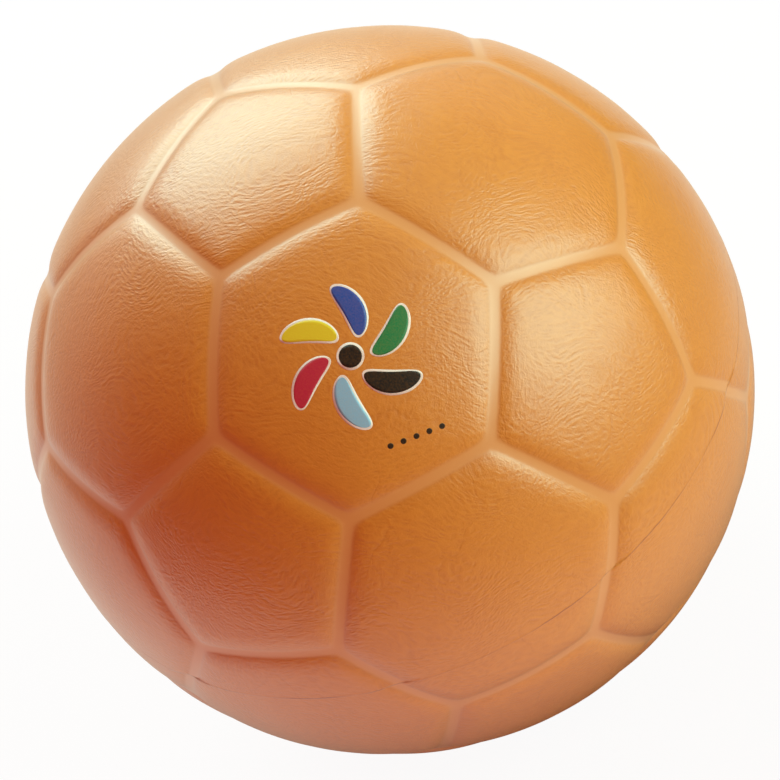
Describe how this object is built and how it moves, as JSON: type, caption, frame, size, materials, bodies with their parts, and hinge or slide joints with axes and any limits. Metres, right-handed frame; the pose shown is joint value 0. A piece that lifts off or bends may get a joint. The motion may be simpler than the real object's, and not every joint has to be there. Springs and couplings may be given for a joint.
{
  "type": "dodgeball",
  "caption": "Soft moulded throwing ball with cushioned panels between rounded seams, an air bladder and a self-sealing needle valve.",
  "frame": {"origin": "centre of the ball", "axes": "+Z out through the middle of a five-sided panel, square to the plane where the mould parted; -Z out through the valve; -Y towards the printed six-sided panel, which lies above the parting line"},
  "size_m": [0.1796, 0.18, 0.1798],
  "materials": {
    "cover": "satin, leather grain",
    "bladder": "matt",
    "valve_body": "satin",
    "valve_core": "satin",
    "print": "printed ink"
  },
  "bodies": {
    "root": {"cover": "cover", "bladder": "bladder", "valve_body": "valve_body", "valve_core": "valve_core"}
  },
  "joints": []
}
